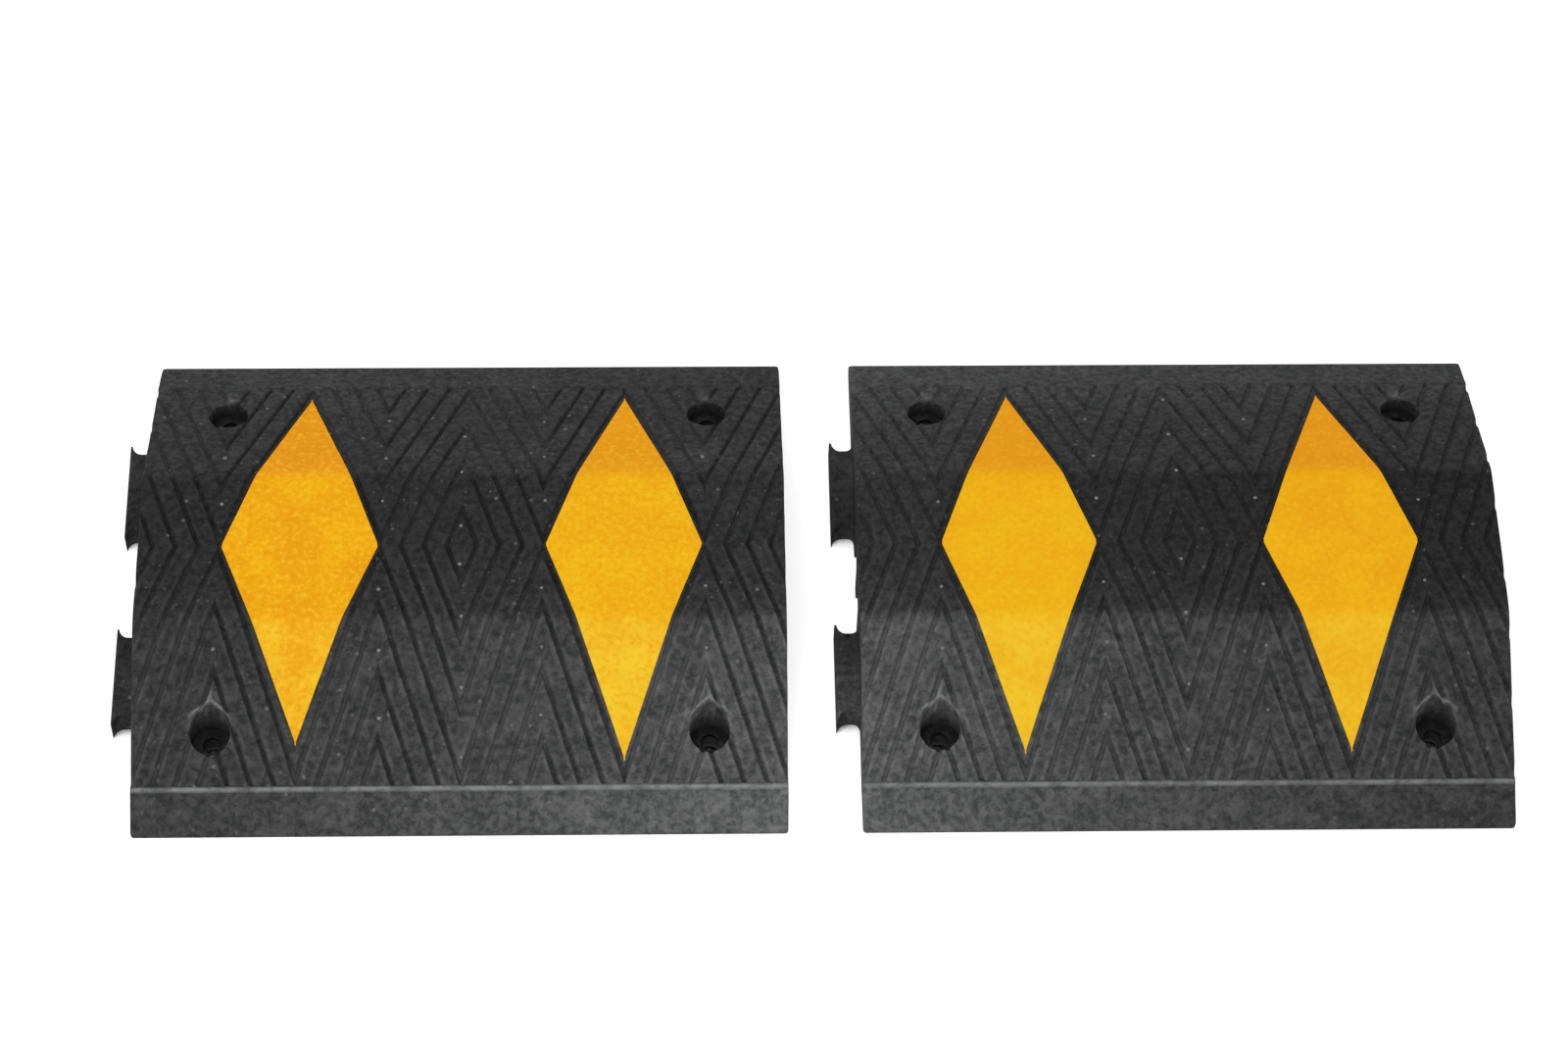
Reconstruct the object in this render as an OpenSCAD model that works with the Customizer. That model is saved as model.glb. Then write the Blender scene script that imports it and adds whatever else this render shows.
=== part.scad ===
// Rubber speed bump: two middle sections of a modular bump, laid out end to end and not yet coupled.
// X runs along the bump, Y across it in the direction of travel, and Z up from the road.
// The origin is at road level, under the middle of the pair with its tabs.

/* [Section] */
// Length of one section along the bump
section_length = 500; // [460:1:600]
// Depth of the bump in the direction of travel
section_depth = 430; // [358:1:516]
// Height of the crest above the road
section_height = 75; // [62:1:90]
// Space between the facing ends of the two sections
section_gap = 56; // [30:1:200]

/* [Profile] */
// Depth of the flat crest
crest_depth = 130; // [109:1:156]
// Depth of the bevelled toe along each edge
toe_depth = 30; // [20:1:36]
// Height at which the toe meets the ramp
toe_height = 20; // [16:1:24]
// Upright lip along the bottom edge
lip_height = 4; // [2:0.5:6]

/* [Reflector diamonds] */
// Distance from a diamond's tip to the toe
reflector_toe_gap = 17; // [10:1:30]
// Width of a diamond along the bump
reflector_width = 122; // [100:1:124]
// Thickness of the reflective film
reflector_thickness = 0.8; // [0.4:0.1:1.2]
// Depth of the shallow recess that the film lies in
reflector_recess = 1.1; // [0.5:0.1:2]
// Gap between the film's edge and the recess wall
reflector_clearance = 0.2; // [0.1:0.1:0.5]
// Strip of plain rubber between the recess and the outline groove
outline_land = 0.8; // [0.5:0.1:3]

/* [Tread grooves] */
// Width of a tread groove
groove_width = 4.5; // [3:0.5:6]
// Depth of a tread groove
groove_depth = 3; // [1.5:0.5:5]
// Distance from one groove to the next, centre to centre
groove_spacing = 16.5; // [13.5:0.5:20]
// Plain border between the grooves and the toe
groove_border = 3; // [1:0.5:8]

/* [Bolt seats] */
// Distance of a bolt from the section's end face
bolt_from_end = 60; // [50:1:72]
// Distance of a bolt from the front or rear edge
bolt_from_edge = 70; // [58:1:84]
// Diameter of the hole for the anchor bolt
bolt_hole = 14; // [10:0.5:18]
// Diameter of the sunk seat for the bolt head
seat_diameter = 31; // [26:0.5:37]
// Height of the seat floor above the road
seat_floor = 15; // [12:0.5:18]
// Thickness of the steel seat washer
washer_thickness = 3; // [2:0.5:4]
// Gap between the washer's rim and the seat wall
washer_clearance = 0.7; // [0.3:0.1:1]

/* [Dovetail coupling] */
// Solid rubber between a tab's socket and the cable channel beside it
socket_wall = 7.5; // [5:0.5:12]
// Width of a tab where it leaves the end face
tab_root_width = 70; // [58:1:72]
// Width of a tab at its outer end
tab_tip_width = 86; // [72:1:104]
// How far a tab stands out of the end face
tab_reach = 18; // [15:1:22]
// Height of a tab above the road
tab_height = 22; // [18:1:26]
// Gap all round a tab in its socket
tab_clearance = 1.5; // [0.5:0.5:2]
// Bevel at the corners of a tab's outer end
tab_bevel = 4; // [1:0.5:6]

/* [Underside] */
// Width of a cable channel
channel_width = 28; // [23:1:30]
// Height of a cable channel
channel_height = 30; // [25:1:36]
// Distance of a cable channel from the middle of the bump
channel_offset = 19; // [18:1:20]
// Number of shallow base recesses along one row
recess_columns = 6; // [4:1:8]
// Width of a base recess in the direction of travel
recess_width = 52; // [43:1:60]
// Depth of a base recess
recess_depth = 6; // [4:0.5:8]
// Rib between neighbouring base recesses, and between a recess and a channel
recess_rib = 13; // [8:1:16]
// Flat base between the recesses and each end face
recess_end_wall = 35; // [28:1:42]
// Flat base kept around a bolt seat
seat_wall = 8; // [6:1:10]

/* [Hidden] */
$fn = 64;

rubber_colour = [0.21, 0.215, 0.215];
film_colour = [0.95, 0.70, 0.10];
steel_colour = [0.16, 0.16, 0.17];

// Spare length that lets a cut run out past the face it opens.
overrun = 10;

// The pair is centred with its tabs, which all point to -X.
left_centre = (tab_reach - section_gap - section_length) / 2;
right_centre = left_centre + section_length + section_gap;

// Two diamonds share a section evenly, and so does the plain cell of tread between them.
diamonds = 2;
diamond_pitch = section_length / diamonds;
cell_width = diamond_pitch / 2;
cell_columns = 2 * diamonds;

// Every groove runs parallel to a diamond's edge. A groove is known by its reach: how far from the
// middle of the bump it crosses the centre line of a cell.
reflector_length = section_depth - 2 * (toe_depth + reflector_toe_gap);
slant = reflector_length / reflector_width;
stretch = sqrt(1 + slant * slant);
groove_half = groove_width / 2 * stretch;
outline_reach = reflector_length / 2 + (reflector_clearance + outline_land + groove_width / 2) * stretch;
reach_step = groove_spacing * stretch;
tread_half = section_depth / 2 - toe_depth - groove_border;
outer_grooves = ceil((tread_half + slant * cell_width / 2 - outline_reach) / reach_step);
inner_grooves = floor((outline_reach - groove_half) / reach_step);

bolt_x = section_length / 2 - bolt_from_end;
bolt_y = section_depth / 2 - bolt_from_edge;
// Four bolts a section: front left, front right, rear left, rear right.
bolt_corners = [[-1, -1], [1, -1], [-1, 1], [1, 1]];

// Distance of a tab's middle from the middle of the bump.
tab_offset = channel_offset + channel_width / 2 + socket_wall + tab_clearance + tab_tip_width / 2;

recess_length =
    (section_length - 2 * recess_end_wall - (recess_columns - 1) * recess_rib) / recess_columns;
recess_start = channel_offset + channel_width / 2 + recess_rib;

// Outline of the top in the YZ plane, from front to rear, lowered by a depth.
function top_line(drop) = [
    [-section_depth / 2, lip_height - drop],
    [toe_depth - section_depth / 2, toe_height - drop],
    [-crest_depth / 2, section_height - drop],
    [crest_depth / 2, section_height - drop],
    [section_depth / 2 - toe_depth, toe_height - drop],
    [section_depth / 2, lip_height - drop],
];

function reversed(list) = [for (i = [len(list) - 1:-1:0]) list[i]];

// Turns a YZ outline into a bar that runs along X, centred on the section.
module along_bump(length) {
    rotate([90, 0, 90]) translate([0, 0, -length / 2]) linear_extrude(length) children();
}

// The section's plain block, with its top lowered by a depth and its base at a level.
module block(drop, base, length) {
    along_bump(length)
        polygon(concat([[-section_depth / 2, base]], top_line(drop), [[section_depth / 2, base]]));
}

// A layer that follows the top between two depths.
module top_layer(upper, lower) {
    along_bump(section_length - 2)
        polygon(concat(top_line(upper), reversed(top_line(lower))));
}

// A flat diamond whose corners are at a given reach, and in line with every groove.
module diamond(reach) {
    polygon([[-reach / slant, 0], [0, -reach], [reach / slant, 0], [0, reach]]);
}

module groove_ring(reach) {
    difference() {
        diamond(reach + groove_half);
        diamond(reach - groove_half);
    }
}

// One column of tread: nested diamonds, cut off at the column's borders.
module tread_cell(first) {
    intersection() {
        square([cell_width, 2 * tread_half], center = true);
        union() {
            for (n = [first:outer_grooves]) groove_ring(outline_reach + n * reach_step);
        }
    }
}

// The tread of a whole section. Columns with a reflector keep the grooves outside its outline.
module tread() {
    for (column = [0:cell_columns]) {
        has_reflector = column % 2 == 1;
        translate([(column - cell_columns / 2) * cell_width, 0])
            tread_cell(has_reflector ? 0 : -inner_grooves);
    }
}

module tread_cut() {
    difference() {
        linear_extrude(section_height + overrun) tread();
        block(groove_depth, -overrun, 2 * section_length);
    }
}

module at_diamonds() {
    for (side = [-1, 1]) translate([side * diamond_pitch / 2, 0, 0]) children();
}

module at_bolts() {
    for (corner = bolt_corners) translate([corner.x * bolt_x, corner.y * bolt_y, 0]) children();
}

module reflector_recess_cut() {
    difference() {
        at_diamonds()
            linear_extrude(section_height + overrun)
                diamond(reflector_length / 2 + reflector_clearance * stretch);
        block(reflector_recess, -overrun, 2 * section_length);
    }
}

module bolt_cut() {
    at_bolts() {
        translate([0, 0, -overrun]) cylinder(h = section_height, d = bolt_hole);
        translate([0, 0, seat_floor]) cylinder(h = section_height, d = seat_diameter);
    }
}

// Plan of a tab that stands out to -X from an end face at X = 0, grown by a gap all round.
module tab_plan(gap, depth_inside) {
    root = tab_root_width / 2 + gap;
    tip = tab_tip_width / 2 + gap;
    reach = tab_reach + gap;
    polygon([
        [depth_inside, -root], [0, -root], [tab_bevel - reach, -tip], [-reach, tab_bevel - tip],
        [-reach, tip - tab_bevel], [tab_bevel - reach, tip], [0, root], [depth_inside, root],
    ]);
}

module tabs() {
    for (side = [-1, 1])
        translate([-section_length / 2, side * tab_offset, 0])
            linear_extrude(tab_height) tab_plan(0, overrun);
}

// A socket opens through the end face and the base, so a section is lowered over the next one's tabs.
module socket_cut() {
    for (side = [-1, 1])
        translate([section_length / 2, side * tab_offset, -overrun])
            linear_extrude(overrun + tab_height + tab_clearance) tab_plan(tab_clearance, overrun);
}

module channel_cut() {
    for (side = [-1, 1])
        translate([-section_length, side * channel_offset - channel_width / 2, -overrun])
            cube([2 * section_length, channel_width, overrun + channel_height]);
}

module base_recess_cut() {
    difference() {
        for (side = [-1, 1], column = [0:recess_columns - 1])
            translate([
                recess_end_wall - section_length / 2 + column * (recess_length + recess_rib),
                side > 0 ? recess_start : -recess_start - recess_width,
                -overrun,
            ])
                cube([recess_length, recess_width, overrun + recess_depth]);
        at_bolts()
            translate([0, 0, -2 * overrun])
                cylinder(h = section_height, d = seat_diameter + 2 * seat_wall);
    }
}

module rubber_body(centre) {
    color(rubber_colour)
        translate([centre, 0, 0])
            difference() {
                union() {
                    block(0, 0, section_length);
                    tabs();
                }
                tread_cut();
                reflector_recess_cut();
                bolt_cut();
                socket_cut();
                channel_cut();
                base_recess_cut();
            }
}

// Film diamond 1 is the one on the left of its section, and 2 the one on the right.
module reflector(centre, number) {
    color(film_colour)
        translate([centre, 0, 0])
            intersection() {
                translate([(number - 1.5) * diamond_pitch, 0, 0])
                    linear_extrude(section_height + overrun) diamond(reflector_length / 2);
                top_layer(reflector_recess - reflector_thickness, reflector_recess);
            }
}

module seat_washer(centre, number) {
    corner = bolt_corners[number - 1];
    color(steel_colour)
        translate([centre + corner.x * bolt_x, corner.y * bolt_y, seat_floor])
            difference() {
                cylinder(h = washer_thickness, d = seat_diameter - 2 * washer_clearance);
                translate([0, 0, -overrun]) cylinder(h = 3 * overrun, d = bolt_hole);
            }
}

rubber_body(left_centre);  // left_rubber_body
rubber_body(right_centre);  // right_rubber_body
for (number = [1, 2]) {
    reflector(left_centre, number);
    reflector(right_centre, number);
}
for (number = [1:4]) {
    seat_washer(left_centre, number);
    seat_washer(right_centre, number);
}
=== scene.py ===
"""Two sections of a rubber speed bump: moulded rubber, reflective film diamonds and steel seat washers."""
import math

import bmesh
import bpy
import numpy as np
from mathutils import Matrix, Vector
from mathutils.geometry import delaunay_2d_cdt, intersect_point_line


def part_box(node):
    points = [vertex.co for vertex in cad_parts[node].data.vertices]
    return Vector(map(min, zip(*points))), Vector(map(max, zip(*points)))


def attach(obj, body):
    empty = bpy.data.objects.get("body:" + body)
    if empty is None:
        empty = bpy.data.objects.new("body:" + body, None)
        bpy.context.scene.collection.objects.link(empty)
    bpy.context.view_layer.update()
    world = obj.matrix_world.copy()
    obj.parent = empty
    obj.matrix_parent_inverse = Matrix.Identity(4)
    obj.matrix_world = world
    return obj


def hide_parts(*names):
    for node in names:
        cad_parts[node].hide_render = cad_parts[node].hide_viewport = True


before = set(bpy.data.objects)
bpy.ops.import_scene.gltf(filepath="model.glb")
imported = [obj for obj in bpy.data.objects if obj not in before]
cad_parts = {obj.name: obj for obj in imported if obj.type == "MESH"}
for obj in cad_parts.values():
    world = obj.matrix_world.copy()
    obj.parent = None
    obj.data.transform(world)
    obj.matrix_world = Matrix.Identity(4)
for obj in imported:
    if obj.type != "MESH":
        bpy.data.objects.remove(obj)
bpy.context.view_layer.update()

# ------------------------ sizes, in millimetres
MM = 0.001  # one millimetre in metres


def box_mm(node):
    """Lowest and highest corner of a CAD node, in millimetres."""
    low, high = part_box(node)
    return np.array(low) / MM, np.array(high) / MM


SIDES = ("left", "right")
BODY_OF = {side: side + "_section" for side in SIDES}


def read_section(side):
    """Places of one section's pieces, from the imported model."""
    body_low, body_high = box_mm(side + "_rubber_body")
    films = [box_mm(f"{side}_reflector_{n}") for n in (1, 2)]
    washers = [box_mm(f"{side}_seat_washer_{n}") for n in (1, 2, 3, 4)]
    centre = float(np.mean([(low[0] + high[0]) / 2 for low, high in films]))
    return {
        "side": side,
        "centre": centre,
        "half_length": body_high[0] - centre,
        "tab_reach": (centre - body_low[0]) - (body_high[0] - centre),
        "films": [(low[0] + high[0]) / 2 - centre for low, high in films],
        "bolts": [((low[0] + high[0]) / 2 - centre, (low[1] + high[1]) / 2) for low, high in washers],
    }


SECTIONS = [read_section(side) for side in SIDES]
BODY_HIGH = box_mm("left_rubber_body")[1]
FILM_LOW, FILM_HIGH = box_mm("left_reflector_1")
WASHER_LOW = box_mm("left_seat_washer_1")[0]

HALF_LENGTH = float(SECTIONS[0]["half_length"])
TAB_REACH = float(SECTIONS[0]["tab_reach"])
HALF_DEPTH = float(BODY_HIGH[1])
HEIGHT = float(BODY_HIGH[2])
FILM_HALF = float(FILM_HIGH[1] - FILM_LOW[1]) / 2
FILM_WIDTH = float(FILM_HIGH[0] - FILM_LOW[0])
SEAT_FLOOR = float(WASHER_LOW[2])

# Profile across the bump
CREST_HALF = 65.0
TOE_LINE = HALF_DEPTH - 30.0
TOE_HEIGHT = 20.0
LIP_HEIGHT = 4.0
CREST_ROUND = 5.0  # half-width of the rounding where crest and ramp meet
CREST_SINK = 0.8  # the crest lies this far under the tips of the vent nibs
EDGE_ROUND = 1.5  # rounding of the outer edges
CORNER_ROUND = 3.0  # rounding of the upright corners
BEAD_HEIGHT = 1.0  # bead along the line where ramp and toe meet
BEAD_HALF = 2.3
BEAD_UNEVEN, BEAD_WAVES = 0.15, (30, 120)  # share of its height that comes and goes along it
# Gentle unevenness of the moulded skin: (height, shortest wave, longest wave)
SWELL = (0.12, 60, 260)
RIPPLE = (0.06, 22, 60)
EVEN_EDGE = 20.0  # it dies out over this distance from the front and rear edge
# How far the ends draw in as the rubber shrinks, over what width, and the waves in that
END_SHRINK, END_ZONE, END_WAVES = 0.35, 25.0, (25, 120)

# Tread: every groove is parallel to a film diamond's edge
CELL = HALF_LENGTH / 2  # a film cell and a plain cell alternate along the section
SLANT = 2 * FILM_HALF / FILM_WIDTH
STRETCH = math.sqrt(1 + SLANT * SLANT)
FILM_GAP = 0.2
OUTLINE_LAND = 0.8
GROOVE_WIDTH = 4.5
# How much is cut off each film's front tip, by section and number
TIP_TRIM = {("left", 1): 14.0, ("left", 2): 2.0, ("right", 1): 5.0, ("right", 2): 5.0}
OUTLINE_REACH = FILM_HALF + (FILM_GAP + OUTLINE_LAND + GROOVE_WIDTH / 2) * STRETCH
REACH_STEP = 16.5 * STRETCH
INNER_GROOVES = 3
OUTER_GROOVES = 4
TREAD_HALF = 182.0
TREAD_END = (-1.1, 0.4)  # the grooves run out between these distances from TREAD_HALF
RECESS_DEPTH = 1.1
FILM_THICKNESS = 0.8
# Depth of a groove at each distance from its middle line
GROOVE_SHAPE = [(0, 3.0), (0.45, 2.85), (0.85, 2.4), (1.2, 1.75), (1.55, 1.05), (1.9, 0.5),
                (2.25, 0.18), (2.7, 0.04), (3.2, 0.0)]
# Painted highlight where the lands' rounded edges catch the light: the lands are a little paler this far
# from a groove's middle line, over this width
SHOULDER, SHOULDER_WIDTH = 3.9, 1.1
# Depth of the recess at each distance out from the film's edge
RECESS_SHAPE = [(-0.6, RECESS_DEPTH), (0.1, RECESS_DEPTH), (0.2, 0.45), (0.3, 0.08), (0.5, 0.0)]

# Bolt seats
SEAT_RADIUS = 15.5
SEAT_FILLET = ((-0.5, 0), (-0.12, 0.2), (0, 0.6))  # (out from the wall, up from the floor) at its corner
BOLT_RADIUS = 7.0
BOLT_CHAMFER = 0.6
RIM_ROUND = 0.8
SEAT_SIDES = 72  # sides of the circles that stand for a seat
# Pointed scoop behind each front seat. Its floor is reached at a share of the way in from the pointed
# edge, and it begins between two distances behind the bolt
SCOOP_START, SCOOP_RUN, SCOOP_DEPTH = 12.0, 11.0, 3.5
SCOOP_BANK = 0.3
SCOOP_BEGIN = (2, 8)
# Raised lip on the scoop's edge: height, width as a share of the scoop, and where it begins
LIP_RISE, LIP_WIDTH, LIP_BEGIN = 0.5, 0.09, (4, 10)

# Vent nibs: how far uphill of a groove they stand, what room they keep and what share has come off
NIB_UPHILL, NIB_ROOM, NIBS_LOST = 15.0, 4.0, 0.12
NIB_RADII, NIB_HEIGHTS, NIB_SIDES = (1.0, 1.45), (0.35, 0.55), 12

# Films: rows and columns of points, how far in and how unevenly they are cut, and the waves in the cut
FILM_ROWS, FILM_COLUMNS = 85, 12
FILM_CUT, FILM_CUT_UNEVEN, FILM_CUT_WAVES = 0.25, 0.22, (18, 90)
FILM_BUCKLE, FILM_BUCKLE_WAVES = 0.04, (12, 60)
# The edges are pressed down: (in from the edge, share of the width at a tip, drop)
FILM_EDGE = ((0, 0, 0.25), (0.12, 0.08, 0.05), (0.4, 0.2, 0))

# Coupling and underside
TAB_ROOT = 70.0
TAB_TIP = 86.0
TAB_HEIGHT = 22.0
TAB_OFFSET = 85.0
TAB_CLEARANCE = 1.5
TAB_CHAMFER = 1.2
TAB_LIFT = 0.3  # the tabs' underside lies this far above the section's
CHANNEL_WIDTH, CHANNEL_HEIGHT, CHANNEL_OFFSET = 28.0, 30.0, 19.0
HOLLOW_COLUMNS, HOLLOW_WIDTH, HOLLOW_DEPTH = 6, 52.0, 6.0
HOLLOW_RIB, HOLLOW_END, HOLLOW_START = 13.0, 35.0, 46.0
SEAT_WALL = 8.0
PAST = 10.0  # how far a cut runs out past the face that it opens

# Painted light across the bump, from front to rear (the front toe and ramp lit pale, the crest in painted
# shade), and how dusty the rubber is: (y, share)
PAINTED_LIGHT_ACROSS = [(-214, 1.05), (-188, 1.05), (-180, 0.90), (-69, 0.84), (-61, 0.46), (-20, 0.37), (61, 0.37),
        (68, 0.53), (178, 0.58), (190, 0.57), (214, 0.60)]
DUST = [(-214, 0.5), (-188, 0.5), (-178, 0.6), (-69, 0.5), (-60, 0.35), (214, 0.3)]
# Painted pool of light and sheen: each section is paler towards its inner end, where the pair is lit most.
# Shares at places from front to rear, for the outer end and for the inner end
PAINTED_LIGHT_POOL_PLACES = (-190, -180, -115, -69, -61, 61, 110, 150, 185)
PAINTED_LIGHT_POOL = {"left": ((0.72, 0.68, 0.66, 0.6, 0.96, 0.98, 1.0, 1.05, 1.25),
                  (1.85, 1.33, 1.33, 1.18, 1.18, 1.16, 1.0, 0.98, 0.98)),
         "right": ((0.6, 0.68, 0.68, 0.7, 0.7, 0.72, 0.84, 0.95, 1.3),
                   (1.6, 1.45, 1.38, 1.3, 1.18, 1.22, 1.2, 1.4, 1.75))}
# Strength, by section, of the painted highlight, partly wear, on the front bead and the scoops' edges
HIGHLIGHT_AND_WEAR = {"left": 1.0, "right": 0.8}
GRIT = {"left": 1.0, "right": 0.6}  # how much the pale specks show
# Painted light and shade in the grooves at places from front to rear, as the lamp lights the grooves that
# run along it to the bottom and leaves those across it in shade: painted shade (above 0) or a paler painted
# floor (below 0). First those that lean to the right, as seen from the front, and then those that lean to
# the left
GROOVE_PAINTED_LIGHT_PLACES = (-69, -61, 61, 69)
GROOVE_PAINTED_LIGHT = {"left": ((-1.0, -0.5, -0.5, 1.0), (0.8, 0.8, 0.8, -0.5)),
         "right": ((-0.8, -0.5, -0.5, -0.3), (0.1, -0.4, -0.4, 0.1))}
# The underside has one tone and one share of dust
BASE_TONE, BASE_DUST = 0.6, 0.3
# A scoop's edge: how strong its painted highlight is, partly wear, and where that begins. A pale spot
# behind each rear seat: how pale it is, how far behind the bolt, and its half-width along and across
SCOOP_HIGHLIGHT, SCOOP_HIGHLIGHT_BEGIN = 0.8, (7, 12)
SPOT_PALE, SPOT_PLACE, SPOT_WIDE, SPOT_DEEP = 0.45, 21.0, 4.5, 2.4


# ------------------------ small helpers
def new_object(name, data):
    """An object for a mesh, camera or lamp, linked to the scene."""
    obj = bpy.data.objects.new(name, data)
    bpy.context.scene.collection.objects.link(obj)
    return obj


def mesh_of(name, points_mm, faces, centre=0.0):
    """A mesh from section-local points in millimetres."""
    points = np.asarray(points_mm, float) * MM
    points[:, 0] += centre * MM
    mesh = bpy.data.meshes.new(name)
    mesh.from_pydata(points.tolist(), [], [list(map(int, f)) for f in faces])
    mesh.validate()
    return mesh


def combine(body, cutter, operation):
    """Applies a boolean of two closed meshes to the first and removes the second."""
    modifier = body.modifiers.new("combine", "BOOLEAN")
    modifier.operation = operation
    modifier.solver = "MANIFOLD"
    modifier.object = cutter
    evaluated = body.evaluated_get(bpy.context.evaluated_depsgraph_get())
    mesh = bpy.data.meshes.new_from_object(evaluated)
    body.modifiers.clear()
    old = body.data
    body.data = mesh
    bpy.data.meshes.remove(old)
    spent = cutter.data
    bpy.data.objects.remove(cutter)
    bpy.data.meshes.remove(spent)


def smooth_step(value, low, high):
    """0 below low, 1 above high, and smooth between them."""
    t = np.clip((value - low) / (high - low), 0, 1)
    return t * t * (3 - 2 * t)


def waves(x, y, seed, shortest, longest, count=8):
    """Gentle unevenness between -1 and 1, the same each run."""
    rng = np.random.default_rng(seed)
    total = np.zeros(np.shape(x))
    for _ in range(count):
        size = rng.uniform(shortest, longest)
        turn = rng.uniform(0, math.tau)
        along = x * math.cos(turn) + y * math.sin(turn)
        total += np.sin(along * math.tau / size + rng.uniform(0, math.tau))
    return total / count


# ------------------------ the top, as heights over a plan
def tread_place(x, y):
    """Distance from the nearest cell's middle, whether that cell has a film, and the point's reach.

    The reach is where the line through the point, parallel to a film's edge, meets the cell's middle line.
    """
    cell = np.round(x / CELL)
    u = np.abs(x - cell * CELL)
    return u, np.mod(cell, 2) == 1, np.abs(y) + SLANT * u


def groove_distance(x, y):
    """Distance from the middle line of the nearest groove."""
    _, has_film, reach = tread_place(x, y)
    number = np.round((reach - OUTLINE_REACH) / REACH_STEP)
    number = np.clip(number, np.where(has_film, 0, -INNER_GROOVES), OUTER_GROOVES)
    return np.abs(reach - OUTLINE_REACH - number * REACH_STEP) / STRETCH


def groove_painted_light(x, y, side):
    """Painted shade or painted light in the groove at a point, by the way it leans."""
    u = x - np.round(x / CELL) * CELL
    right, left = (np.interp(y, GROOVE_PAINTED_LIGHT_PLACES, groove_light) for groove_light in GROOVE_PAINTED_LIGHT[side])
    return np.where(u * y < 0, right, left)


def groove_depth(x, y):
    """Depth of the tread groove at a point, 0 on the land between grooves."""
    off = groove_distance(x, y)
    distance, depth = zip(*GROOVE_SHAPE)
    fade = 1 - smooth_step(np.abs(y), TREAD_HALF + TREAD_END[0], TREAD_HALF + TREAD_END[1])
    return np.interp(off, distance, depth) * fade


def recess_at(x, y):
    """Depth of the shallow recess that a film lies in."""
    u, has_film, reach = tread_place(x, y)
    distance, depth = zip(*RECESS_SHAPE)
    return np.where(has_film, np.interp((reach - FILM_HALF) / STRETCH, distance, depth), 0)


def edge_drop(distance, radius):
    """How far a rounded edge has fallen at a distance from its face."""
    left = radius - np.clip(distance, 0, radius)
    return radius - np.sqrt(np.maximum(radius * radius - left * left, 0))


def plain_top(x, y, seed):
    """Height of the moulded top without grooves, recesses or seats."""
    v = np.abs(y)
    crest = HEIGHT - CREST_SINK
    line = np.interp(v, [CREST_HALF, TOE_LINE, HALF_DEPTH], [crest, TOE_HEIGHT, LIP_HEIGHT])
    steep = (crest - TOE_HEIGHT) / (TOE_LINE - CREST_HALF)
    near = np.maximum(CREST_ROUND - np.abs(v - CREST_HALF), 0)
    line = line - steep * near * near / (4 * CREST_ROUND)
    uneven = SWELL[0] * waves(x, y, seed, *SWELL[1:]) + RIPPLE[0] * waves(x, y, seed + 1, *RIPPLE[1:])
    return line + uneven * (1 - smooth_step(v, HALF_DEPTH - EVEN_EDGE, HALF_DEPTH))


def scoop_place(dx, dy):
    """How far out a point lies in a seat's scoop: 1 on the scoop's pointed edge."""
    return np.abs(dx) / SEAT_RADIUS + np.maximum(dy - SCOOP_START, 0) / SCOOP_RUN


def scoop_depth(dx, dy):
    """Depth of the pointed scoop that the mould leaves behind a front seat."""
    return SCOOP_DEPTH * smooth_step(1 - scoop_place(dx, dy), 0, SCOOP_BANK) * smooth_step(dy, *SCOOP_BEGIN)


def scoop_lip(dx, dy, begin):
    """1 on the pointed edge of a front seat's scoop, and 0 away from it and in front of where it begins."""
    return np.exp(-((scoop_place(dx, dy) - 1) / LIP_WIDTH) ** 2) * smooth_step(dy, *begin)


def top_height(x, y, bolts, seed):
    """Height of the finished top."""
    v = np.abs(y)
    z = plain_top(x, y, seed) - groove_depth(x, y) - recess_at(x, y)
    bead = np.maximum(1 - ((v - TOE_LINE) / BEAD_HALF) ** 2, 0)
    uneven = 1 - BEAD_UNEVEN + BEAD_UNEVEN * waves(x, 0 * y, seed + 2, *BEAD_WAVES)
    z = z + BEAD_HEIGHT * np.sqrt(bead) * uneven
    for bolt_x, bolt_y in bolts:
        dx, dy = x - bolt_x, y - bolt_y
        if bolt_y < 0:
            z = z + LIP_RISE * scoop_lip(dx, dy, LIP_BEGIN) - scoop_depth(dx, dy)
        z = z - edge_drop(np.hypot(dx, dy) - SEAT_RADIUS, RIM_ROUND)
    low_edge = 10  # where the block is lower than this, its ends are rounded less
    z = z - edge_drop(HALF_LENGTH - np.abs(x), EDGE_ROUND) * np.minimum(z / low_edge, 1)
    return z - edge_drop(HALF_DEPTH - v, EDGE_ROUND)


# ------------------------ plan of the top
# Its rows and columns lie close together where the surface bends
EDGE_STEPS = (0, 0.12, 0.45, 1.0, 1.7)  # in from an outer edge
CREST_STEPS = (-CREST_ROUND, -CREST_ROUND / 2, 0, CREST_ROUND / 2, CREST_ROUND)
TREAD_END_STEPS = (-1.1, -0.7, -0.3, 0.1, 0.45)
BEAD_STEPS = (-1.1, -1, -0.9, -0.6, 0, 0.6, 0.9, 1, 1.1)
TOE_STEPS = (4, 9, 17)
ROWS = sorted([0.0, *(HALF_DEPTH - step for step in EDGE_STEPS),
               *(CREST_HALF + step for step in CREST_STEPS),
               *(TREAD_HALF + step for step in TREAD_END_STEPS),
               *(TOE_LINE + step * BEAD_HALF for step in BEAD_STEPS),
               *(TOE_LINE + step for step in TOE_STEPS)])
CELL_COLUMNS = list(np.linspace(0, CELL / 2, 11))
END_COLUMNS = [*EDGE_STEPS, 4.0, *CELL_COLUMNS[1:]]
LAND_LEVELS = (0.38, 0.62)  # lines on the land between two grooves, as shares of REACH_STEP
FILM_LEVELS, FILM_LEVELS_END = 14, 8.0  # lines under a film, and how far short of its tip they stop
LEVEL_GAP = 0.05  # closer lines than this are left out
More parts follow.
